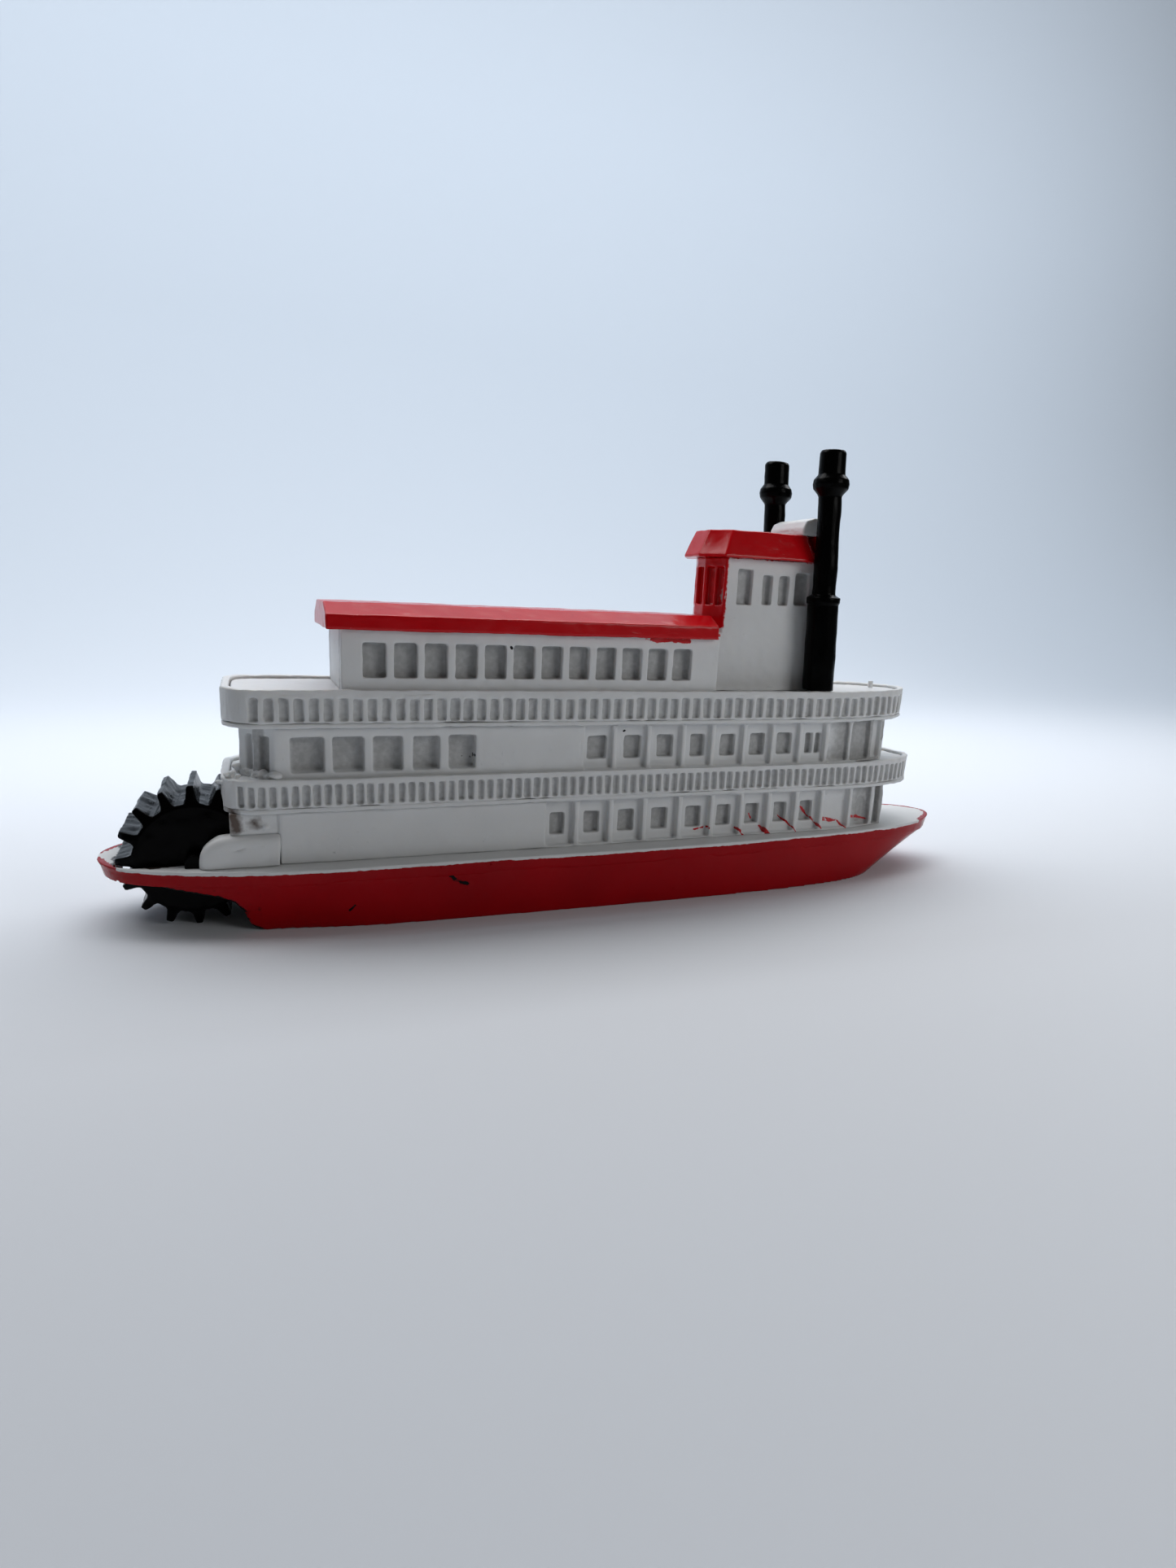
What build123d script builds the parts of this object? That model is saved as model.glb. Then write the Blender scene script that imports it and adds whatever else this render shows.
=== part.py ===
# Toy stern-wheel paddle steamer, built deck by deck as separate pieces.
# Units are millimetres. +X runs to the bow, +Y to port, +Z up. The floor is z = 0.
# The boat is 76 mm from stern tip to bow tip and 38 mm from the floor to the funnel tops.
from build123d import *
import os

os.makedirs("parts", exist_ok=True)

# ---- driving dimensions ----
Z_SHEER = 4.0          # top of the red hull moulding
Z_MAIN = 4.82          # main deck surface
Z_PROM = 8.74          # underside of the promenade deck
Z_HURR = 14.93         # underside of the hurricane deck
BAND_PROM = 2.47       # promenade railing top above its underside
BAND_HURR = 2.79       # hurricane railing top above its underside
TRAY = 0.25            # rail top above the deck inside it
FLANGE = 0.36          # deck edge the railing stands on
RAIL_T = 0.55          # railing thickness
POCKET = 0.38          # depth of the pockets between the balusters
FIT = 0.05             # clearance of every locating fit
BAND_HALF = 5.53       # half breadth of both upper decks
HOUSE_HALF = 4.93      # half breadth of the upper deckhouse
TEXAS_HALF = 4.97      # half breadth of the texas cabin
PILOT_HALF = 2.83      # half breadth of the pilothouse
FUNNEL_X = 20.1
FUNNEL_Y = 4.3
WHEEL_X = -31.3        # paddle wheel axis
WHEEL_Z = 5.2
WHEEL_R = 5.1
WHEEL_HALF = 3.55
WHEEL_TAPER = 0.7      # the paddles narrow by this at each end of their tips
TAPER_DEPTH = 1.2      # over this much of the radius
DRUM_R = 4.1
PADDLES = 16
AXLE_R = 0.35
WELL_GAP = 0.2         # clearance round the wheel
AXLE_HALF = 4.45
FAIRING_TOP = 7.15     # top of the fairings beside the wheel
BLOCK_HALF = 0.6       # bearing block half width along X
BLOCK_OUT = -4.7       # its outer face on the starboard side

Z_CAP = 31.1           # pilothouse roof top, under the cap
Z_PROM_DECK = Z_PROM + BAND_PROM - TRAY
Z_HURR_DECK = Z_HURR + BAND_HURR - TRAY

DECK_HALF_PLAN = [(-38, 0), (-37.85, 1.3), (-37.35, 2.4), (-36.4, 3.5), (-34.9, 4.45), (-31.4, 5.65),
                  (-25.8, 6.8), (-16.5, 7.05), (9.3, 7.0), (20.9, 6.3), (27.5, 5.6), (31.5, 4.75),
                  (34.6, 3.6), (36.9, 2.0), (37.75, 0.9), (38, 0)]
KEEL_HALF_PLAN = [(-34.8, 0), (-34.4, 1.8), (-33.2, 3.5), (-30.6, 4.8), (-26.2, 5.5), (-20.3, 6.3), (-8, 6.75),
                  (6, 6.85), (18, 6.5), (24.4, 5.7), (27.5, 4.6), (29.3, 3.1), (30.8, 1.3), (31.3, 0)]
Z_KNUCKLE = 3.6        # the hull side turns upright above this
KNUCKLE_HALF_PLAN = [(0.984 * x, 0.988 * y) for x, y in DECK_HALF_PLAN]


def box(x0, x1, y0, y1, z0, z1):
    """Axis-aligned block given by its limits."""
    return Pos((x0 + x1) / 2, (y0 + y1) / 2, (z0 + z1) / 2) * Box(abs(x1 - x0), abs(y1 - y0), abs(z1 - z0))


def upright(x, y, r, z0, z1):
    """Vertical round bar."""
    return Pos(x, y, (z0 + z1) / 2) * Cylinder(r, z1 - z0)


def across(x, z, r, y0, y1):
    """Round bar lying along Y."""
    return Pos(x, (y0 + y1) / 2, z) * (Rot(90, 0, 0) * Cylinder(r, y1 - y0))


def prism(points, z0, z1):
    """Plan polygon pulled upwards."""
    face = Pos(0, 0, z0) * make_face(Polyline(*points, close=True))
    return extrude(face, amount=z1 - z0, dir=(0, 0, 1))


def bar(points, y0, y1):
    """Side-view (x, z) polygon pulled across the boat."""
    face = make_face(Polyline(*[(x, y0, z) for x, z in points], close=True))
    return extrude(face, amount=y1 - y0, dir=(0, 1, 0))


def rib(points, x0, x1):
    """Cross-section (y, z) polygon pulled along the boat."""
    face = make_face(Polyline(*[(x0, y, z) for y, z in points], close=True))
    return extrude(face, amount=x1 - x0, dir=(1, 0, 0))


def plan_face(half, z):
    """Closed plan from starboard half-breadths, stern tip first."""
    side = Spline(*[(x, -y, z) for x, y in half])
    return make_face([side, mirror(side, Plane.XZ)])


def both_sides(part):
    """A piece and its twin on the other side, as a list."""
    return [part, mirror(part, Plane.XZ)]


# ---- shared cutting tools ----
def wheel_form(gap):
    """Drum with tapered rims, grown by gap, centred on the origin with its axis along Y."""
    r, half = WHEEL_R + gap, WHEEL_HALF + gap
    edge = [(0, -half), (r - TAPER_DEPTH, -half), (r, WHEEL_TAPER - half), (r, half - WHEEL_TAPER),
            (r - TAPER_DEPTH, half), (0, half)]
    return revolve(make_face(Polyline(*edge, close=True)), Axis.Y)


def wheel_well():
    """Space that clears the paddle wheel."""
    return Pos(WHEEL_X, 0, WHEEL_Z) * wheel_form(WELL_GAP)


# ---- hull and main deck ----
def hull_sides():
    """Whole hull form, keel to deck edge: a flare, then a nearly upright band."""
    flare = loft([plan_face(KEEL_HALF_PLAN, 0), plan_face(KNUCKLE_HALF_PLAN, Z_KNUCKLE)], ruled=True)
    band = loft([plan_face(KNUCKLE_HALF_PLAN, Z_KNUCKLE), plan_face(DECK_HALF_PLAN, Z_MAIN)], ruled=True)
    return flare + band


def hull():
    shell = hull_sides() & box(-40, 40, -10, 10, 0, Z_SHEER)
    counter = [(-40, -1), (-26.7, -1), (-26.85, 0), (-27.25, 0.2), (-27.6, 0.5), (-27.85, 1.05), (-28.05, 1.7),
               (-28.6, 2.35), (-29.5, 2.75), (-31, 3.05), (-32.8, 3.4), (-34.9, Z_SHEER), (-35.2, 4.5), (-40, 4.5)]
    shell -= bar(counter, -10, 10)
    shell -= wheel_well()
    for x in (-20, 18):
        shell += upright(x, 0, 1.5, Z_SHEER, Z_SHEER + 0.4)
    return shell


def main_deck():
    plate = hull_sides() & box(-40, 40, -10, 10, Z_SHEER, Z_MAIN)
    plate -= wheel_well()
    for x in (-20, 18):
        plate -= upright(x, 0, 1.5 + FIT, Z_SHEER, Z_SHEER + 0.45)
    return plate


# ---- walls with bays ----
def windows(xs, y, z0, z1, depth):
    """Recess cutters in both side walls; xs are (x0, x1) pairs."""
    cuts = []
    for x0, x1 in xs:
        cuts += both_sides(box(x0, x1, -y - 1, -y + depth, z0, z1))
    return cuts


def half_at(side, x):
    """Half breadth of a wall line at x, straight between its corners."""
    for (xa, ya), (xb, yb) in zip(side, side[1:]):
        if xa <= x <= xb:
            return ya + (yb - ya) * (x - xa) / (xb - xa)
    return side[-1][1]


def bay_cutters(side, depth, z0, z1):
    """Removes the wall outside a line set back by depth, on both sides."""
    inner = [(x, -(y - depth)) for x, y in side]
    outer = [(side[-1][0], -9), (side[0][0], -9)]
    return both_sides(prism(inner + outer, z0, z1))


def posts(xs, side, depth, z0, z1):
    """Slim uprights standing proud in the bays."""
    out = []
    for x in xs:
        y = half_at(side, x)
        out += both_sides(box(x - 0.2, x + 0.2, -y, -y + depth + 0.2, z0, z1))
    return out


LOWER_SIDE = [(-5.5, 5.2), (21.6, 5.2), (25, 4.95), (28, 4.35), (29.3, 3.95)]
LOWER_POSTS = [-5.3, -2.41, 0.61, 3.71, 7.02, 10.16, 13.1, 15.92, 18.81, 21.57, 24.9, 27.8, 29.1]
LOWER_WINDOWS = [(-4.53, -3.32), (-1.56, -0.21), (1.49, 2.92), (4.6, 6.08), (7.85, 9.33), (10.9, 12.3),
                 (13.85, 15.2), (16.75, 18.1), (19.56, 20.85)]
UPPER_SIDE = [(-2.3, HOUSE_HALF), (20.5, HOUSE_HALF), (24.7, 4.3), (27.7, 3.5), (29.3, 3.0)]
UPPER_POSTS = [-2.1, 0.75, 3.83, 7.08, 9.89, 13.02, 15.9, 18.78, 21.7, 24.6, 27.5, 29.1]
UPPER_WINDOWS = [(-1.49, 0.2), (1.78, 3.3), (4.8, 6.3), (7.95, 9.3), (10.85, 12.3), (13.85, 15.3),
                 (16.6, 18.1)]
BAY = 0.6              # set-back of the panelled walls
PANE = 0.65            # window recess depth


def house_plan(aft, side):
    """Closed plan from the aft corner points and the tapering side line."""
    starboard = aft + [(x, -y) for x, y in side[1:]]
    return starboard + [(x, -y) for x, y in reversed(starboard)]


def lower_deckhouse():
    house = prism(house_plan([(-25.44, -5.2)], LOWER_SIDE), Z_MAIN, Z_PROM)
    house -= bay_cutters(LOWER_SIDE, BAY, Z_MAIN + 0.15, Z_PROM - 0.1)
    house += posts(LOWER_POSTS, LOWER_SIDE, BAY, Z_MAIN, Z_PROM)
    house -= windows(LOWER_WINDOWS, 5.2 - BAY, 5.75, 7.6, PANE)
    arch = box(26.2, 27.4, -4.7, -3.75, Z_MAIN + 0.45, 7.0) + across(26.8, 7.0, 0.6, -4.7, -3.75)
    house -= both_sides(arch)
    # cheeks that carry the promenade deck aft, above the wheel fairings
    house += both_sides(box(-28.8, -25.44, -5.0, -(WHEEL_HALF + WELL_GAP), FAIRING_TOP, Z_PROM))
    return house


def upper_deckhouse():
    aft = [(-28.0, -1.9), (-25.6, -HOUSE_HALF)]
    house = prism(house_plan(aft, UPPER_SIDE), Z_PROM_DECK, Z_HURR)
    top = Z_PROM + BAND_PROM
    house -= bay_cutters(UPPER_SIDE, 0.5, top, Z_HURR - 0.1)
    house += posts(UPPER_POSTS, UPPER_SIDE, 0.5, top, Z_HURR)
    big = [(-24.55, -22.2), (-21.6, -19.35), (-18.7, -16.5), (-15.75, -13.7), (-13.0, -10.9)]
    house -= windows(big, HOUSE_HALF, 11.6, 14.2, 0.95)
    house -= windows(UPPER_WINDOWS, HOUSE_HALF - 0.5, 12.0, 13.9, PANE)
    house -= windows([(19.55, 20.35), (20.6, 21.3)], HOUSE_HALF - 0.5, 12.0, 13.9, PANE)
    # two openings in each slanted face of the stern bay
    for s, w in ((0.3, 1.1), (0.72, 0.65)):
        x = -25.6 - 2.4 * s
        y = -HOUSE_HALF + (HOUSE_HALF - 1.9) * s
        slot = Pos(x, y, 12.85) * (Rot(0, 0, 128.4) * Box(w, 1.0, 2.7))
        house -= both_sides(slot)
    return house


# ---- decks and railings ----
def band_outline(x_aft, bow, inset, z):
    """Plan of an upper deck, shrunk by inset. bow lists (x, half breadth) past the parallel part."""
    side = BAND_HALF - inset
    r = 2.6 - inset
    x0 = x_aft + inset
    start = Line((x0, 0, z), (x0, -side + r, z))
    k = r * (1 - 0.5 ** 0.5)
    turn = ThreePointArc((x0, -side + r, z), (x0 + k, -side + k, z), (x0 + r, -side, z))
    run = Line((x0 + r, -side, z), (bow[0][0], -side, z))
    pts = [(bow[0][0], -side, z)]
    for x, y in bow[1:-1]:
        pts.append((x - inset * 0.45, -(y - inset * 0.9), z))
    pts.append((bow[-1][0] - inset, 0, z))
    nose = Spline(*pts, tangents=[(1, 0, 0), (0, 1, 0)])
    half = [start, turn, run, nose]
    return half, make_face(half + [mirror(e, Plane.XZ) for e in half])


PROM_BOW = [(19, BAND_HALF), (25, 5.35), (29.3, 4.6), (32.3, 3.1), (33.6, 1.5), (33.9, 0)]
HURR_BOW = [(15.5, BAND_HALF), (22.8, 5.3), (26.6, 4.6), (29.8, 3.5), (31.9, 2.0), (32.7, 0)]


def deck(x_aft, bow, z, band):
    """Flange plus raised middle that the railing drops over."""
    flange = extrude(band_outline(x_aft, bow, 0, z)[1], amount=FLANGE, dir=(0, 0, 1))
    core = extrude(band_outline(x_aft, bow, RAIL_T + FIT, z)[1], amount=band - TRAY, dir=(0, 0, 1))
    return flange + core


def railing(x_aft, bow, z, band, pitch, pocket, z0, z1, skip):
    """Ring with rows of shallow upright pockets that leave the balusters standing."""
    edges, outer = band_outline(x_aft, bow, 0, z + FLANGE)
    inner = band_outline(x_aft, bow, RAIL_T, z + FLANGE)[1]
    ring = extrude(outer - inner, amount=band - FLANGE, dir=(0, 0, 1))
    half = Wire(edges[1:])
    count = int((half.length - skip) / pitch)
    cuts = []
    for i in range(count):
        d = skip + (i + 0.5) * pitch
        p = half.position_at(d, position_mode=PositionMode.LENGTH)
        t = half.tangent_at(d, position_mode=PositionMode.LENGTH)
        turn = Rot(0, 0, Vector(1, 0, 0).get_signed_angle(t, Vector(0, 0, 1)))
        cuts += both_sides(Pos(p.X, p.Y, (z0 + z1) / 2) * (turn * Box(pocket, 2 * POCKET, z1 - z0)))
    return ring - cuts


def promenade_deck():
    return deck(-29.3, PROM_BOW, Z_PROM, BAND_PROM) - wheel_well()


def promenade_railing():
    ring = railing(-29.3, PROM_BOW, Z_PROM, BAND_PROM, 0.76, 0.48, 9.25, 10.78, 2.3)
    return ring - wheel_well()


def hurricane_deck():
    return deck(-29.1, HURR_BOW, Z_HURR, BAND_HURR)


def hurricane_railing():
    return railing(-29.1, HURR_BOW, Z_HURR, BAND_HURR, 1.02, 0.66, 15.45, 17.1, 3.1)


# ---- texas and pilothouse ----
def texas_cabin():
    cabin = box(-20.95, 9.8, -TEXAS_HALF, TEXAS_HALF, Z_HURR_DECK, 22.41)
    first, pitch, width = -19.4, 2.27, 1.68
    xs = [(first + pitch * i, first + pitch * i + width) for i in range(12)]
    return cabin - windows(xs, TEXAS_HALF, 18.55, 21.1, 0.85)


def texas_roof():
    section = [(-5.57, 21.98), (5.57, 21.98), (5.57, 23.05), (3.4, 23.9), (-3.4, 23.9), (-5.57, 23.05)]
    roof = rib(section, -22, 11)
    inner = TEXAS_HALF + FIT
    roof -= box(-20.95 - FIT, 12, -inner, inner, 21, 22.41)
    end = [(9.3, -7), (9.3, -5.57), (10.15, -0.7), (10.15, 0.7), (9.3, 5.57), (9.3, 7), (12, 7), (12, -7)]
    return roof - prism(end, 22, 25)


def pilothouse():
    low = box(9.8, 21.3, -PILOT_HALF, PILOT_HALF, Z_HURR_DECK, 22.41)
    tower = prism([(11.1, -PILOT_HALF), (21.3, -PILOT_HALF), (21.3, PILOT_HALF), (11.1, PILOT_HALF),
                   (10.15, 0.7), (10.15, -0.7)], 22.41, 28.8)
    house = low + tower + box(19.95, 21.3, -PILOT_HALF, PILOT_HALF, 28.8, Z_CAP)
    side = [(12.3, 13.75, 24.9, 27.9), (14.8, 15.75, 25.0, 27.5), (16.45, 17.45, 25.0, 27.5),
            (18.15, 19.5, 25.1, 27.8)]
    for x0, x1, z0, z1 in side:
        house -= windows([(x0, x1)], PILOT_HALF, z0, z1, 0.65)
    for s in (0.27, 0.72):
        x = 11.1 - 0.95 * s
        y = -PILOT_HALF + (PILOT_HALF - 0.7) * s
        pane = Pos(x, y, 26.4) * (Rot(0, 0, 114) * Box(0.8, 0.8, 3.2))
        house -= both_sides(pane)
    house -= box(10, 10.6, -0.5, 0.5, 24.8, 28.0)
    return house


def pilothouse_roof():
    eave = [(10.5, -3.6), (19.2, -3.6), (19.9, -3.0), (19.9, 3.0), (19.2, 3.6), (10.5, 3.6), (9.1, 1.3),
            (9.1, -1.3)]
    top = [(11.6, -2.65), (18.9, -2.65), (19.3, -2.3), (19.3, 2.3), (18.9, 2.65), (11.6, 2.65), (10.1, 1.25),
           (10.1, -1.25)]
    low = Pos(0, 0, 29.0) * make_face(Polyline(*eave, close=True))
    high = Pos(0, 0, Z_CAP) * make_face(Polyline(*top, close=True))
    return prism(eave, 28.8, 29.0) + loft([low, high], ruled=True)


def pilothouse_cap():
    profile = [(18.5, Z_CAP), (21.4, Z_CAP), (21.4, 32.5), (19.6, 32.6), (18.8, 32.3), (18.5, 31.7)]
    return bar(profile, -2.7, 2.7)


# ---- funnels ----
def funnel(side):
    """Two-stage stack with a seam ring and a crown, turned about its own axis."""
    profile = [(0, 0), (0.6, 0), (0.6, TRAY), (1.34, TRAY), (1.34, 7.75), (1.44, 7.9), (1.44, 8.35),
               (1.0, 8.6), (0.97, 16.8), (1.15, 17.05), (1.45, 17.4), (1.52, 17.8), (1.45, 18.15),
               (1.12, 18.55), (1.1, 20.3), (0.95, 20.53), (0, 20.53)]
    face = make_face(Polyline(*[(r, 0, z) for r, z in profile], close=True))
    stack = revolve(face, Axis.Z)
    stack -= upright(0, 0, 0.6, 19.2, 21)
    return Pos(FUNNEL_X, side * FUNNEL_Y, Z_HURR_DECK) * stack


# ---- stern gear ----
def wheel_housing():
    """Long rounded fairing beside the wheel."""
    body = box(-30.95, -25.44, -5.5, -(WHEEL_HALF + WELL_GAP), Z_MAIN, FAIRING_TOP)
    tip = body.edges().filter_by(Axis.Y).group_by(Axis.X)[0].group_by(Axis.Z)[-1]
    body = fillet(tip, 1.9)
    crown = body.edges().group_by(Axis.Z)[-1].filter_by(Axis.X)
    body = fillet(crown, 0.55)
    # rebate that clears the bearing block
    return body - box(-31, WHEEL_X + BLOCK_HALF + FIT, BLOCK_OUT - FIT, -3, Z_MAIN - 1, 8)


def bearing_block():
    """Pillow block: feet on the deck, round top, blind bore for the axle end."""
    inner = -(WHEEL_HALF + WELL_GAP)
    block = box(WHEEL_X - BLOCK_HALF, WHEEL_X + BLOCK_HALF, BLOCK_OUT, inner, Z_MAIN, WHEEL_Z)
    block += across(WHEEL_X, WHEEL_Z, BLOCK_HALF, BLOCK_OUT, inner)
    block &= box(-40, 0, -10, 0, Z_MAIN, 10)
    return block - across(WHEEL_X, WHEEL_Z, AXLE_R + FIT, -AXLE_HALF - FIT, -3)


def paddle_wheel():
    """Drum with horn-shaped paddles that narrow towards their tips."""
    blade = [(-0.52, DRUM_R - 0.2), (-0.4, DRUM_R + 0.25), (-0.34, WHEEL_R - 0.12), (-0.18, WHEEL_R + 0.1),
             (0.06, WHEEL_R + 0.1), (0.16, WHEEL_R - 0.25), (0.34, DRUM_R + 0.2), (0.6, DRUM_R - 0.2)]
    blade = bar(blade, -WHEEL_HALF, WHEEL_HALF)
    wheel = across(0, 0, DRUM_R, -WHEEL_HALF, WHEEL_HALF)
    for i in range(PADDLES):
        wheel += Rot(0, 360 / PADDLES * i, 0) * blade
    wheel &= wheel_form(0)
    wheel -= across(0, 0, AXLE_R, -4, 4)
    return Pos(WHEEL_X, 0, WHEEL_Z) * wheel


def wheel_axle():
    return across(WHEEL_X, WHEEL_Z, AXLE_R, -AXLE_HALF, AXLE_HALF)


def foredeck_stud():
    return upright(29.6, 0, 0.28, Z_HURR_DECK, Z_HURR_DECK + 0.75)


PARTS = {
    "hull": hull(),
    "main_deck": main_deck(),
    "lower_deckhouse": lower_deckhouse(),
    "promenade_deck": promenade_deck(),
    "promenade_railing": promenade_railing(),
    "upper_deckhouse": upper_deckhouse(),
    "hurricane_deck": hurricane_deck(),
    "hurricane_railing": hurricane_railing(),
    "texas_cabin": texas_cabin(),
    "texas_roof": texas_roof(),
    "pilothouse": pilothouse(),
    "pilothouse_roof": pilothouse_roof(),
    "pilothouse_cap": pilothouse_cap(),
    "starboard_funnel": funnel(-1),
    "port_funnel": funnel(1),
    "starboard_wheel_housing": wheel_housing(),
    "port_wheel_housing": mirror(wheel_housing(), Plane.XZ),
    "starboard_bearing_block": bearing_block(),
    "port_bearing_block": mirror(bearing_block(), Plane.XZ),
    "foredeck_stud": foredeck_stud(),
    "paddle_wheel": paddle_wheel(),
    "wheel_axle": wheel_axle(),
}

for name, shape in PARTS.items():
    export_step(shape, f"parts/{name}.step")
    b = shape.bounding_box()
    spans = "  ".join(f"{lo:6.2f} {hi:6.2f}" for lo, hi in zip(b.min, b.max))
    print(f"{name:26s} solids {len(shape.solids())} vol {shape.volume:9.2f}  {spans}")
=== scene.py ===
"""Toy stern-wheel paddle steamer: a small soft-vinyl moulding, hand painted red and black."""
import math

import bmesh
import bpy
import numpy as np
from mathutils import Matrix, Vector


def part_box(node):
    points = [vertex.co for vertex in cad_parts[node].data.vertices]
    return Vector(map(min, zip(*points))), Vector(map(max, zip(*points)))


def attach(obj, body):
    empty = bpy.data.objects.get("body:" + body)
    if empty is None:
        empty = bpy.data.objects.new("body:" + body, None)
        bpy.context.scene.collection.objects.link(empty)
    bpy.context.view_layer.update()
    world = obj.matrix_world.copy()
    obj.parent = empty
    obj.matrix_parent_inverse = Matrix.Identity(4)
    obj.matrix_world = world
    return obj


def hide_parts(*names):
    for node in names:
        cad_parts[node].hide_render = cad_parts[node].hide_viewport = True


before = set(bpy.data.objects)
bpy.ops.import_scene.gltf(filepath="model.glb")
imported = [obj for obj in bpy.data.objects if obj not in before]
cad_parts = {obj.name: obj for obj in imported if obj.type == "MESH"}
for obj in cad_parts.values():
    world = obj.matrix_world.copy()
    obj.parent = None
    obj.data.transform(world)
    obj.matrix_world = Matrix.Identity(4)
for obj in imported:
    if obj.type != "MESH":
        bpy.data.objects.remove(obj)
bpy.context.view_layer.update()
MM = 0.001

# places taken from the frame, in millimetres
WHEEL_LOW, WHEEL_HIGH = (np.array(corner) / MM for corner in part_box("paddle_wheel"))
WHEEL_X, WHEEL_Z = (WHEEL_LOW[0] + WHEEL_HIGH[0]) / 2, (WHEEL_LOW[2] + WHEEL_HIGH[2]) / 2
WHEEL_R = (WHEEL_HIGH[0] - WHEEL_LOW[0]) / 2
DECK_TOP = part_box("main_deck")[1][2] / MM
EAVE_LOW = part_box("texas_roof")[0][2] / MM
PILOT_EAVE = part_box("pilothouse_roof")[0][2] / MM
FUNNEL_LOW, FUNNEL_HIGH = (corner[2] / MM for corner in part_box("starboard_funnel"))

# half breadth of the walls whose windows and bays are set back
WALL_HALF = {"lower_deckhouse": 4.5, "upper_deckhouse": 4.3, "texas_cabin": 4.8, "pilothouse": 2.66}
UNMARKED = -1.0        # a paint number that leaves the surface bare

# runs of red paint on the lower deckhouse: an (x, z) path, then its half width
RED_RUNS = (([(20.1, 6.9), (20.9, 5.9), (22.0, 4.7)], 0.2),
            ([(17.4, 6.4), (18.4, 5.6), (19.1, 4.7)], 0.14),
            ([(12.5, 5.7), (13.1, 5.3), (13.6, 4.7)], 0.2),
            ([(15.4, 5.5), (16.1, 4.8)], 0.26),
            ([(22.1, 5.8), (23.9, 5.5), (24.9, 4.6)], 0.26),
            ([(25.6, 5.8), (27.5, 5.4)], 0.16),
            ([(8.8, 5.5), (9.9, 5.7)], 0.18),
            ([(14.5, 6.7), (14.8, 6.1)], 0.14))

# sockets of the mix node: its factor, its two plain values, its two colours and its colour output
FACTOR, VALUE_A, VALUE_B, COLOUR_A, COLOUR_B, COLOUR_OUT = 0, 2, 3, 6, 7, 2


# ---------------------------------------------------------------- camera
def place_camera():
    """Close phone-style view from off the starboard quarter, below the funnels' middle."""
    cam = bpy.data.cameras.new("camera")
    cam.sensor_fit = "VERTICAL"
    cam.sensor_height = 36
    cam.sensor_width = 27
    cam.lens = 20.04
    cam.clip_start = 0.001
    cam.clip_end = 10
    pitch, yaw, roll = math.radians(12.18), math.radians(21.27), math.radians(2.58)
    ahead = Vector((math.sin(yaw), math.cos(yaw), 0))
    side = Vector((math.cos(yaw), -math.sin(yaw), 0))
    forward = ahead * math.cos(pitch) - Vector((0, 0, 1)) * math.sin(pitch)
    level_up = Vector((0, 0, 1)) * math.cos(pitch) + ahead * math.sin(pitch)
    right = side * math.cos(roll) + level_up * math.sin(roll)
    up = level_up * math.cos(roll) - side * math.sin(roll)
    turn = Matrix((right, up, -forward)).transposed().to_4x4()
    ob = bpy.data.objects.new("camera", cam)
    ob.matrix_world = Matrix.Translation(Vector((-26.88, -70.18, 25.12)) * MM) @ turn
    bpy.context.scene.collection.objects.link(ob)
    bpy.context.scene.camera = ob


# ---------------------------------------------------------------- numbers on meshes
def smooth_noise(points, grain, seed):
    """Smooth random value from -1 to 1 at each point; grain is the feature size in millimetres."""
    q = points / grain + seed * 7.13
    cell = np.floor(q)
    t = q - cell
    t = t * t * (3 - 2 * t)
    total = np.zeros(len(points))
    for dx in (0, 1):
        for dy in (0, 1):
            for dz in (0, 1):
                corner = cell + (dx, dy, dz)
                h = np.sin(corner @ np.array([127.1, 311.7, 74.7])) * 43758.5453
                weight = np.ones(len(points))
                for axis, step in enumerate((dx, dy, dz)):
                    weight *= t[:, axis] if step else 1 - t[:, axis]
                total += weight * (h - np.floor(h))
    return total * 2 - 1


def read_points(mesh):
    """Vertex positions in millimetres, one row each."""
    flat = np.empty(len(mesh.vertices) * 3)
    mesh.vertices.foreach_get("co", flat)
    return flat.reshape(-1, 3) / MM


def read_normals(mesh):
    """Vertex normals, one row each."""
    flat = np.empty(len(mesh.vertices) * 3)
    mesh.vertex_normals.foreach_get("vector", flat)
    return flat.reshape(-1, 3)


def write_points(mesh, points):
    """Puts positions in millimetres back on the mesh."""
    mesh.vertices.foreach_set("co", (points * MM).ravel())
    mesh.update()


def set_number(mesh, name, values):
    """Stores one number per vertex for the materials to read."""
    layer = mesh.attributes.get(name) or mesh.attributes.new(name, "FLOAT", "POINT")
    layer.data.foreach_set("value", np.clip(values, -4, 4).astype(np.float32))


def ridges(mesh, points, normals):
    """How far each vertex stands out from its neighbours: positive on edges, negative in corners."""
    pairs = np.empty(len(mesh.edges) * 2, dtype=np.int64)
    mesh.edges.foreach_get("vertices", pairs)
    a, b = pairs.reshape(-1, 2).T
    total = np.zeros_like(points)
    count = np.zeros(len(points))
    for start, end in ((a, b), (b, a)):
        for axis in range(3):
            total[:, axis] += np.bincount(start, weights=points[end, axis], minlength=len(points))
        count += np.bincount(start, minlength=len(points))
    middle = total / np.maximum(count, 1)[:, None]
    lift = ((points - middle) * normals).sum(axis=1)
    # spread it over two rings of neighbours so that rubbed and highlighted edges have some width
    for _ in range(2):
        spread = np.bincount(a, weights=lift[b], minlength=len(points))
        spread += np.bincount(b, weights=lift[a], minlength=len(points))
        lift = 0.4 * lift + 0.6 * spread / np.maximum(count, 1)
    return lift


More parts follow.
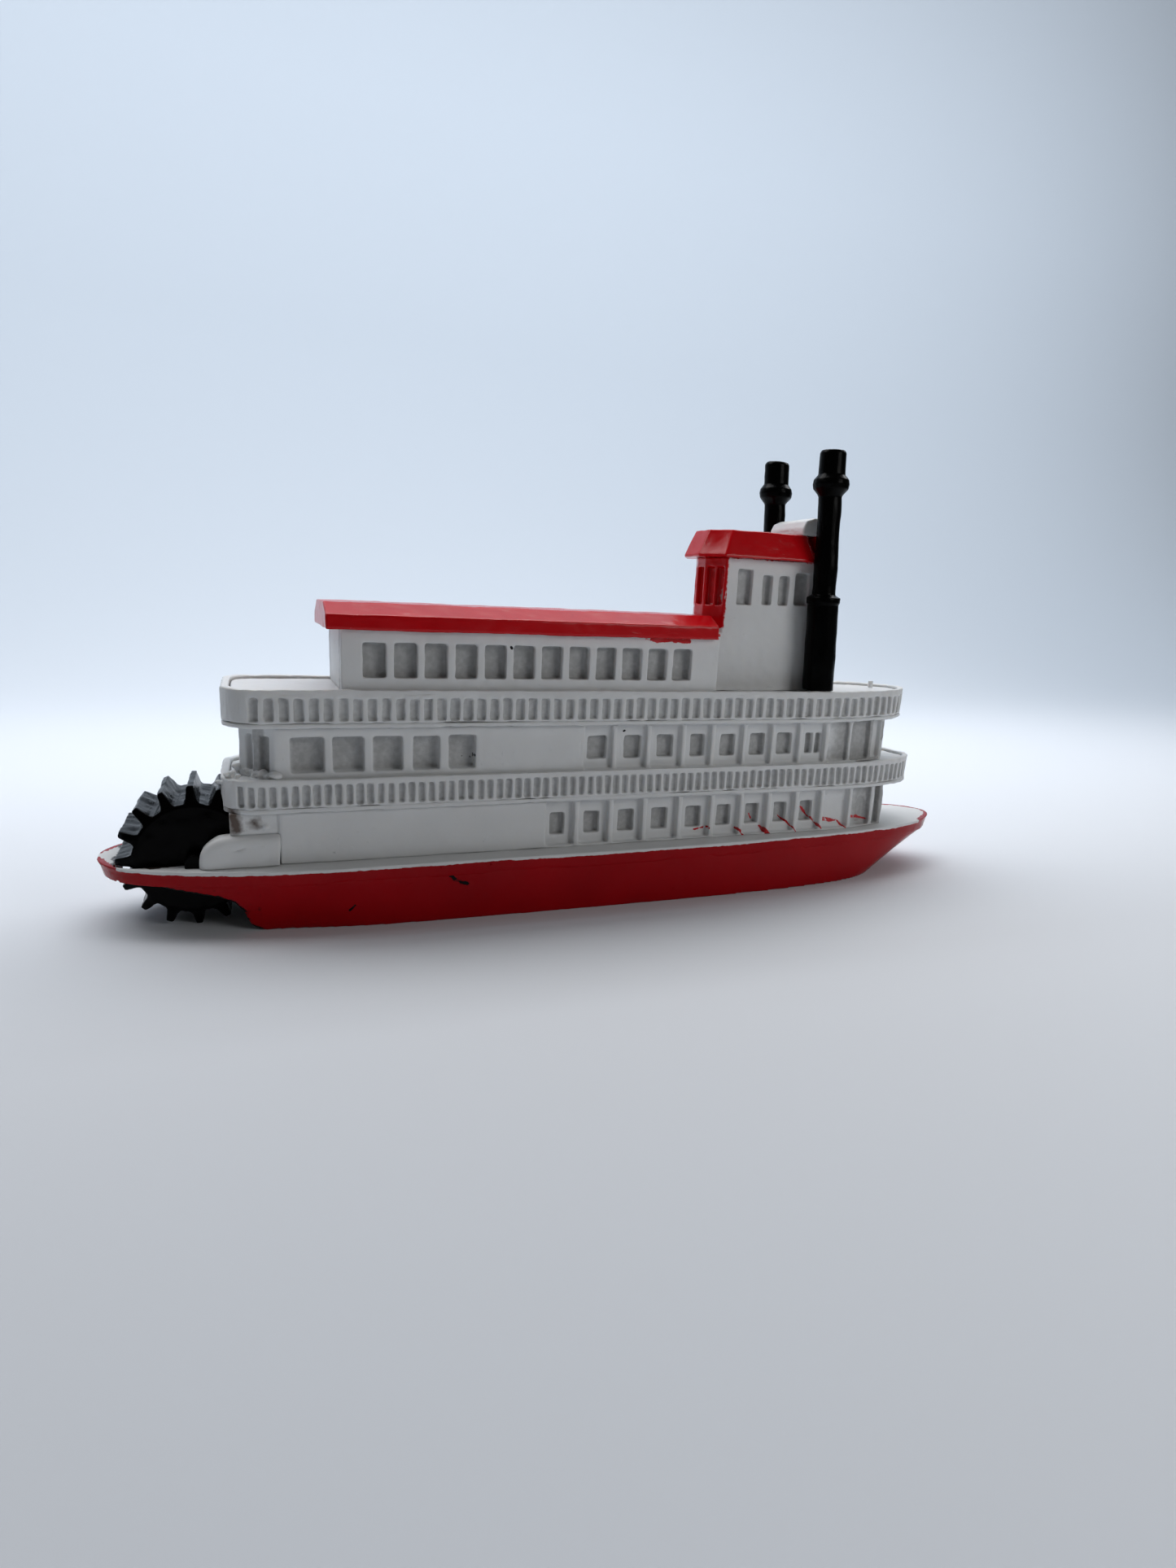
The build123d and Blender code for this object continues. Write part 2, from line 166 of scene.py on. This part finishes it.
def rim_distance(points):
    """Plan distance in from the outline of a deck-shaped mesh, in millimetres."""
    step = 0.25
    bins = np.floor((points[:, 0] - points[:, 0].min()) / step).astype(int)
    half = np.zeros(bins.max() + 1)
    np.maximum.at(half, bins, np.abs(points[:, 1]))
    slope = np.gradient(half, step)
    return (half[bins] - np.abs(points[:, 1])) / np.sqrt(1 + slope[bins] ** 2)


def stroke(points, path, width):
    """Positive inside a brush stroke along an (x, z) path on the starboard side, in widths."""
    flat = points[:, [0, 2]]
    nearest = np.full(len(points), 1e3)
    for start, end in zip(path, path[1:]):
        a, d = np.array(start), np.array(end) - start
        t = np.clip((flat - a) @ d / (d @ d), 0, 1)
        nearest = np.minimum(nearest, np.linalg.norm(flat - a - t[:, None] * d, axis=1))
    nearest[points[:, 1] > 0] = 1e3
    return 1 - nearest / width


# ---------------------------------------------------------------- moulded pieces
def moulded(name, node, body, voxel=0.1, soften=3, keep=0.5, lumps=()):
    """A copy of a CAD node with rounded, slightly uneven moulded edges. Sizes are in millimetres."""
    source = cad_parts[node]
    ob = bpy.data.objects.new(name, source.data.copy())
    ob.data.materials.clear()
    bpy.context.scene.collection.objects.link(ob)
    join_lumps(ob.data, lumps)
    remesh = ob.modifiers.new("skin", "REMESH")
    remesh.mode = "VOXEL"
    remesh.voxel_size = voxel * MM
    relax = ob.modifiers.new("soften", "SMOOTH")
    relax.factor = 0.5
    relax.iterations = soften
    thin = ob.modifiers.new("thin", "DECIMATE")
    thin.ratio = keep
    bpy.context.view_layer.update()
    graph = bpy.context.evaluated_depsgraph_get()
    mesh = bpy.data.meshes.new_from_object(ob.evaluated_get(graph))
    ob.modifiers.clear()
    ob.data = mesh
    mesh.name = name
    mesh.shade_smooth()
    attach(ob, body)
    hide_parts(node)
    return ob


def join_lumps(mesh, lumps):
    """Adds small rough blobs (x, y, z, radius) to a mesh before it is skinned over."""
    bm = bmesh.new()
    bm.from_mesh(mesh)
    for x, y, z, r in lumps:
        place = Matrix.Translation(Vector((x, y, z)) * MM) @ Matrix.Diagonal((1.2, 1, 0.8, 1))
        bmesh.ops.create_icosphere(bm, subdivisions=2, radius=r * MM, matrix=place)
    bm.to_mesh(mesh)
    bm.free()


def crumbs(seed, count, start, end, spread, size):
    """Random lumps strung between two points, for torn moulding flash."""
    rng = np.random.default_rng(seed)
    start, end = np.array(start), np.array(end)
    out = []
    for t in np.linspace(0, 1, count):
        x, y, z = start + (end - start) * t + rng.normal(0, spread, 3)
        out.append((x, y, z, rng.uniform(0.5, 1) * size))
    return out


def uneven(ob, *layers):
    """Pushes the surface in and out; each layer is (height, grain, seed) in millimetres."""
    points, normals = read_points(ob.data), read_normals(ob.data)
    push = np.zeros(len(points))
    for height, grain, seed in layers:
        push += height * smooth_noise(points, grain, seed)
    write_points(ob.data, points + normals * push[:, None])


# ---------------------------------------------------------------- materials
def linear(code):
    """sRGB hex to linear RGBA."""
    parts = [int(code[i:i + 2], 16) / 255 for i in (0, 2, 4)]
    return [c / 12.92 if c <= 0.04045 else ((c + 0.055) / 1.055) ** 2.4 for c in parts] + [1]


def add(tree, kind, links=None, values=None, **settings):
    """Adds one node with its properties, its fixed input values and its links."""
    node = tree.nodes.new(kind)
    for key, value in settings.items():
        setattr(node, key, value)
    for key, value in (values or {}).items():
        node.inputs[key].default_value = value
    for key, source in (links or {}).items():
        tree.links.new(source, node.inputs[key])
    return node


def painted_vinyl(name, skin_values, worn_code, reds=("B2000A", "CC000E")):
    """Soft PVC moulding with brushed enamel over it.

    Numbers stored on the mesh say where paint, dirt, wear and painted light are: red, black and grime grow
    past 0.5 inside marked parts, worn is high along edges, as rubbed paint and as a painted
    highlight, and deep is painted shade, with some dust, that darkens the recesses. Noise
    about 0.4 mm across makes the borders ragged, as a small brush leaves them. The vinyl is satin and the
    enamel over it is smoother. skin_values go to the surface's own sockets, and reds are the darkest and
    lightest shades of the red paint; the default pair is a lighter copy of that red, painted light for lit
    roof tops.
    """
    mat = bpy.data.materials.new(name)
    mat.use_nodes = True
    tree = mat.node_tree
    tree.nodes.clear()
    place = add(tree, "ShaderNodeTexCoord").outputs["Object"]
    ragged = add(tree, "ShaderNodeTexNoise", {"Vector": place}, {"Scale": 1 / (0.4 * MM), "Detail": 4.0})
    cloud = add(tree, "ShaderNodeTexNoise", {"Vector": place}, {"Scale": 1 / (4 * MM), "Detail": 3.0})
    grain = add(tree, "ShaderNodeTexNoise", {"Vector": place}, {"Scale": 1 / (0.15 * MM), "Detail": 3.0})

    # first layer: painted shade, with dust, in recesses; last: rubbed paint and painted edge highlights
    layers = (("deep", "A4A4A3", "AEAEAD", 0.5), ("red", *reds, 0.1),
              ("black", "010101", "030303", 0.12), ("grime", "3A2A20", "6E6058", 0.5),
              ("worn", worn_code, worn_code, 0.4))
    colour = add(tree, "ShaderNodeMix", {FACTOR: cloud.outputs["Fac"]},
                 {COLOUR_A: linear("D4D5D5"), COLOUR_B: linear("E0E1E1")},
                 data_type="RGBA").outputs[COLOUR_OUT]
    rough = add(tree, "ShaderNodeMath", {0: grain.outputs["Fac"]}, {1: 0.12, 2: 0.42},
                operation="MULTIPLY_ADD").outputs[0]
    for label, dark, light, softness in layers:
        number = add(tree, "ShaderNodeAttribute", attribute_name=label).outputs["Fac"]
        shifted = add(tree, "ShaderNodeMath", {0: ragged.outputs["Fac"], 1: number}, operation="ADD")
        mask = add(tree, "ShaderNodeMapRange", {"Value": shifted.outputs[0]},
                   {"From Min": 1 - softness, "From Max": 1 + softness}).outputs["Result"]
        shade = add(tree, "ShaderNodeMix", {FACTOR: cloud.outputs["Fac"]},
                    {COLOUR_A: linear(dark), COLOUR_B: linear(light)},
                    data_type="RGBA").outputs[COLOUR_OUT]
        colour = add(tree, "ShaderNodeMix", {FACTOR: mask, COLOUR_A: colour, COLOUR_B: shade},
                     data_type="RGBA").outputs[COLOUR_OUT]
        if label in ("red", "black"):
            rough = add(tree, "ShaderNodeMix", {FACTOR: mask, VALUE_A: rough}, {VALUE_B: 0.24}).outputs[0]
    dimple = add(tree, "ShaderNodeBump", {"Height": grain.outputs["Fac"]},
                 {"Strength": 0.25, "Distance": 0.03 * MM})
    skin = add(tree, "ShaderNodeBsdfPrincipled",
               {"Base Color": colour, "Roughness": rough, "Normal": dimple.outputs["Normal"]},
               {"IOR": 1.5, "Subsurface Radius": (1.0, 0.85, 0.7),
                "Subsurface Scale": 0.5 * MM} | skin_values)
    add(tree, "ShaderNodeOutputMaterial", {"Surface": skin.outputs["BSDF"]})
    return mat


def dress(ob, material, **marks):
    """Gives a piece its material and its paint numbers, each one number or one per vertex."""
    count = len(ob.data.vertices)
    for name in ("deep", "red", "black", "grime", "worn"):
        set_number(ob.data, name, np.zeros(count) + marks.get(name, UNMARKED))
    ob.data.materials.clear()
    ob.data.materials.append(material)


# ---------------------------------------------------------------- the boat
def build_hull(enamel):
    """Red hull, scuffed low on the starboard side, black inside the wheel well."""
    hull = moulded("hull_moulding", "hull", "boat", 0.13, 2, 0.35)
    uneven(hull, (0.04, 3.0, 1), (0.015, 0.8, 2))
    p, n = read_points(hull.data), read_normals(hull.data)
    well = 3.0 * (WHEEL_HIGH[1] + 0.5 - np.abs(p[:, 1])) + 0.5
    well[p[:, 0] > WHEEL_HIGH[0] + 0.6] = -1
    # black also runs along the underside of the counter
    under = np.where((p[:, 0] < WHEEL_HIGH[0] - 0.6) & (p[:, 0] > -35), -0.4 - 2.5 * n[:, 2], -1)
    well = np.maximum(well, under)
    scuffs = np.maximum(stroke(p, [(-13.2, 3.6), (-12.6, 3.1), (-11.9, 2.9)], 0.3),
                        stroke(p, [(-20.3, 1.8), (-20.7, 1.4)], 0.2))
    worn = 22 * ridges(hull.data, p, n) - 0.35
    dress(hull, enamel, red=1.0, black=np.maximum(well, scuffs), worn=worn)


def build_main_deck(vinyl):
    """White deck with its edge painted red, and the rim red too at the bow and the stern."""
    deck = moulded("main_deck_moulding", "main_deck", "boat", 0.08, 1, 0.4)
    uneven(deck, (0.03, 2.5, 3), (0.02, 0.7, 4))
    p, n = read_points(deck.data), read_normals(deck.data)
    # its lip hangs a little over the hull, so that the red side runs on without a seam
    hang = np.clip((DECK_TOP - 0.4 - p[:, 2]) / 0.4, 0, 1)
    p -= np.outer(hang, (0, 0, 0.35))
    write_points(deck.data, p)
    inward = rim_distance(p)
    wander = smooth_noise(p, 1.6, 5)
    side = 6 * (DECK_TOP - 0.16 + 0.07 * wander - p[:, 2])
    at_ends = np.where(p[:, 0] > 0, p[:, 0] - 34.4, -36.4 - p[:, 0])
    rim = 3 * (0.62 + 0.2 * wander - inward) + 0.5
    rim[at_ends < 0] = -1
    gap = np.maximum(np.abs(p[:, 1]) - WHEEL_HIGH[1], np.abs(p[:, 0] - WHEEL_X) - WHEEL_R)
    smear = 1.0 - 1.6 * gap + 0.7 * smooth_noise(p, 1.1, 6)
    smear[(p[:, 0] > WHEEL_X + 1.2) | (inward < 0.35) | (n[:, 2] < 0.6)] = -1
    dress(deck, vinyl, red=np.maximum(side, rim), black=smear, grime=smear - 0.35 + 0.4 * wander)


def build_white_pieces(vinyl):
    """Deckhouses, decks and railings in bare vinyl: paint misses, dirt, painted shade and painted
    highlights.
    """
    stern_flash = crumbs(21, 22, (-28.3, -1.0, 11.4), (-25.6, -5.1, 11.35), 0.16, 0.36)
    stern_flash += crumbs(22, 12, (-29.2, -2.4, 10.9), (-28.4, -4.6, 11.2), 0.2, 0.3)
    wheel_flash = crumbs(23, 12, (-28.7, -4.2, 7.8), (-26.4, -4.9, 7.6), 0.2, 0.32)
    rows = (("lower_deckhouse_moulding", "lower_deckhouse", 0.09, wheel_flash),
            ("promenade_deck_moulding", "promenade_deck", 0.1, stern_flash),
            ("promenade_railing_moulding", "promenade_railing", 0.08, ()),
            ("upper_deckhouse_moulding", "upper_deckhouse", 0.09, ()),
            ("hurricane_deck_moulding", "hurricane_deck", 0.1, ()),
            ("hurricane_railing_moulding", "hurricane_railing", 0.08, ()),
            ("texas_cabin_moulding", "texas_cabin", 0.09, ()),
            ("pilothouse_moulding", "pilothouse", 0.08, ()),
            ("pilothouse_cap_moulding", "pilothouse_cap", 0.08, ()),
            ("starboard_wheel_fairing", "starboard_wheel_housing", 0.08, ()),
            ("port_wheel_fairing", "port_wheel_housing", 0.08, ()),
            ("foredeck_nub", "foredeck_stud", 0.06, ()))
    for name, node, voxel, lumps in rows:
        soften = 6 if "railing" in name else 4
        ob = moulded(name, node, "boat", voxel, soften, 0.4, lumps)
        rough = 0.06 if "railing" in name else 0.03
        uneven(ob, (0.05, 2.2, 6), (rough, 0.55, 7))
        p, n = read_points(ob.data), read_normals(ob.data)
        # lighter along raised edges: a painted highlight for light glowing through the vinyl there
        edges = 14 * ridges(ob.data, p, n) - 0.3
        dress(ob, vinyl, worn=edges, deep=recess(node, p), **white_marks(node, p))


def recess(node, p):
    """Painted shade and dust: high inside window and baluster pockets, below zero on the faces round them.
    """
    if "railing" in node:
        pocket = np.clip((rim_distance(p) - 0.12) / 0.25, 0, 1)
        low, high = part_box(node)[0][2] / MM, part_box(node)[1][2] / MM
        inside = (p[:, 2] > low + 0.1) & (p[:, 2] < high - 0.12)
        return np.where(inside, 0.95 * pocket - 0.4, -1)
    if node not in WALL_HALF:
        return UNMARKED
    inward = WALL_HALF[node] - np.abs(p[:, 1])
    return np.where(inward < 1.2, 1.3 * np.clip(inward / 0.35, 0, 1) - 0.4, UNMARKED)


def white_marks(node, p):
    """Paint numbers for the stray marks on one white piece."""
    wander = smooth_noise(p, 0.9, 12)
    low = np.full(len(p), UNMARKED)
    if node == "lower_deckhouse":
        red = low
        for path, width in RED_RUNS:
            red = np.maximum(red, stroke(p, path, width) + 0.6 * wander)
        stain = np.maximum(stroke(p, [(-28.5, 8.6), (-28.4, 7.6)], 0.5),
                           stroke(p, [(-27.2, 8.1), (-26.9, 7.8)], 0.5))
        return {"red": red, "grime": stain + 0.4 * wander}
    if node == "upper_deckhouse":
        specks = np.maximum(stroke(p, [(-11.0, 12.6), (-11.1, 12.4)], 0.16),
                            stroke(p, [(-11.8, 12.4), (-11.7, 12.4)], 0.1))
        return {"black": np.maximum(specks, stroke(p, [(1.7, 14.3), (1.8, 14.3)], 0.12)) + 0.3}
    if node == "texas_cabin":
        under_eave = stroke(p, [(2.9, EAVE_LOW - 0.1), (6.9, EAVE_LOW - 0.2)], 0.3) + 0.5 * wander
        edge = 3 * (p[:, 2] - EAVE_LOW) + 0.4 * wander
        speck = stroke(p, [(-8.3, 21.0), (-8.25, 20.9)], 0.14) + 0.3
        return {"red": np.maximum(under_eave, edge), "black": speck}
    if node == "pilothouse":
        corner = 11.25 + 0.12 * wander
        nose = np.minimum(2.5 * (corner - p[:, 0]), 2 * (p[:, 2] - EAVE_LOW - 0.9)) + 0.5
        eave = 2.2 * (p[:, 2] - PILOT_EAVE + 0.22 + 0.2 * wander)
        funnel = np.minimum(2 * (p[:, 0] - 20.4 + 0.5 * wander), 2 * (-2 - p[:, 1])) + 0.5
        return {"red": np.maximum(nose, eave), "black": np.minimum(funnel, 3 * (EAVE_LOW + 5.5 - p[:, 2]))}
    if node == "promenade_deck":
        stain = stroke(p, [(-29.0, 9.4), (-28.6, 8.9)], 0.6) + 0.5 * wander
        return {"grime": stain}
    return {}


def build_roofs(enamel):
    """Glossy red roofs whose sharp edges are paler: a painted highlight along them, and rubbed paint."""
    for name, node in (("texas_roof_moulding", "texas_roof"),
                       ("pilothouse_roof_moulding", "pilothouse_roof")):
        ob = moulded(name, node, "boat", 0.09, 2, 0.45)
        uneven(ob, (0.04, 2.2, 8), (0.02, 0.6, 9))
        p, n = read_points(ob.data), read_normals(ob.data)
        # paler sharp edges: a painted highlight for the gloss, and rubbed paint
        worn = 16 * ridges(ob.data, p, n) - 0.35 + 0.3 * smooth_noise(p, 1.5, 13)
        dress(ob, enamel, red=1.0, worn=worn)


def build_black_pieces(enamel):
    """Funnels that lean a little aft, the paddle wheel and what carries it."""
    for name, node, body in (("starboard_funnel_moulding", "starboard_funnel", "boat"),
                             ("port_funnel_moulding", "port_funnel", "boat"),
                             ("starboard_axle_block", "starboard_bearing_block", "boat"),
                             ("port_axle_block", "port_bearing_block", "boat"),
                             ("paddle_wheel_moulding", "paddle_wheel", "wheel"),
                             ("paddle_wheel_axle", "wheel_axle", "wheel")):
        ob = moulded(name, node, body, 0.07, 1, 0.5)
        p = read_points(ob.data)
        if "funnel" in name:
            up = (p[:, 2] - FUNNEL_LOW) / (FUNNEL_HIGH - FUNNEL_LOW)
            p[:, 0] += 0.35 - 0.8 * up
            write_points(ob.data, p)
            uneven(ob, (0.05, 1.6, 10), (0.02, 0.5, 11))
            dress(ob, enamel, black=1.0)
        else:
            # the axle fits its bearings, so only the wheel itself is uneven
            radius = np.hypot(p[:, 0] - WHEEL_X, p[:, 2] - WHEEL_Z)
            if node == "paddle_wheel":
                # softening drew the paddles in, so their tips go back out by up to 3 percent;
                # they graze the edges of the well by about 0.03 mm at rest and as the wheel turns
                grow = 1 + 0.03 * np.clip(radius - 4.3, 0, 0.7) / 0.7
                p[:, 0] = WHEEL_X + (p[:, 0] - WHEEL_X) * grow
                p[:, 2] = WHEEL_Z + (p[:, 2] - WHEEL_Z) * grow
                write_points(ob.data, p)
                uneven(ob, (0.05, 1.0, 10), (0.03, 0.5, 11))
            # paler paddle tips: a painted highlight for light catching the black paddles
            tips = 1.6 * (radius - WHEEL_R + 0.2) + 0.35 * smooth_noise(p, 0.8, 14)
            dress(ob, enamel, black=1.0, worn=tips)


# ---------------------------------------------------------------- studio
def soft_light(name, size, place, target, power, code):
    """Rectangular softbox, unseen by the camera."""
    lamp = bpy.data.lights.new(name, "AREA")
    lamp.shape = "RECTANGLE"
    lamp.size, lamp.size_y = size
    lamp.energy = power
    lamp.color = linear(code)[:3]
    ob = bpy.data.objects.new(name, lamp)
    ob.location = place
    ob.rotation_euler = (Vector(target) - Vector(place)).to_track_quat("-Z", "Y").to_euler()
    ob.visible_camera = False
    bpy.context.scene.collection.objects.link(ob)


def build_studio():
    """Pale paper sweep under a softbox just behind the boat, so that the near side is in shade."""
    near, far, rise, bend = -0.6, 0.34, 0.9, 0.22
    profile = [(near, 0.0), (far - bend, 0.0)]
    for i in range(1, 17):
        a = math.pi / 2 * i / 16
        profile.append((far - bend + bend * math.sin(a), bend - bend * math.cos(a)))
    profile.append((far, rise))
    verts = [(x, y, z) for y, z in profile for x in (-1.2, 1.2)]
    faces = [(2 * i, 2 * i + 1, 2 * i + 3, 2 * i + 2) for i in range(len(profile) - 1)]
    mesh = bpy.data.meshes.new("paper_sweep")
    mesh.from_pydata(verts, [], faces)
    mesh.shade_smooth()
    sweep = bpy.data.objects.new("paper_sweep", mesh)
    bpy.context.scene.collection.objects.link(sweep)
    paper = bpy.data.materials.new("matt_backdrop_paper")
    paper.use_nodes = True
    skin = paper.node_tree.nodes["Principled BSDF"]
    skin.inputs["Base Color"].default_value = linear("DDE1E6")
    skin.inputs["Roughness"].default_value = 0.9
    mesh.materials.append(paper)

    soft_light("overhead_softbox", (0.3, 0.06), (0.02, 0.045, 0.125), (0.02, 0.045, 0), 0.26, "F8F8FA")
    soft_light("backdrop_wash", (1.0, 0.1), (0.0, 0.03, 0.26), (0, 0.34, 0.2), 1.9, "E8F3FF")
    soft_light("bow_side_fill", (0.06, 0.06), (0.075, -0.11, 0.07), (0.01, 0, 0.014), 0.04, "FDFDFD")

    world = bpy.data.worlds.new("room")
    world.use_nodes = True
    world.node_tree.nodes["Background"].inputs["Color"].default_value = linear("F2F2F2")
    world.node_tree.nodes["Background"].inputs["Strength"].default_value = 0.07
    bpy.context.scene.world = world
    bpy.context.scene.view_settings.view_transform = "Standard"


def build_boat():
    """Mixes the paints and makes every piece of the boat."""
    vinyl = painted_vinyl("soft_moulded_vinyl", {"Subsurface Weight": 0.25}, "F4F2EE")
    # darker copy of the red: painted shade on hull side and deck edge; default reds are the lit, lighter
    # copy
    shaded_side_reds = ("8C0008", "A6000C")
    low_sheen = {"Specular IOR Level": 0.12}
    enamel_red = painted_vinyl("red_enamel_on_vinyl", low_sheen, "D0686E", shaded_side_reds)
    deck_vinyl = painted_vinyl("edge_painted_deck_vinyl", low_sheen, "F4F2EE", shaded_side_reds)
    enamel_roof = painted_vinyl("glossy_red_enamel_on_vinyl", {"Specular IOR Level": 0.3}, "E8909A")
    enamel_black = painted_vinyl("black_enamel_on_vinyl", {"Specular IOR Level": 0.05}, "303236")
    build_hull(enamel_red)
    build_main_deck(deck_vinyl)
    build_white_pieces(vinyl)
    build_roofs(enamel_roof)
    build_black_pieces(enamel_black)


place_camera()
build_boat()
build_studio()
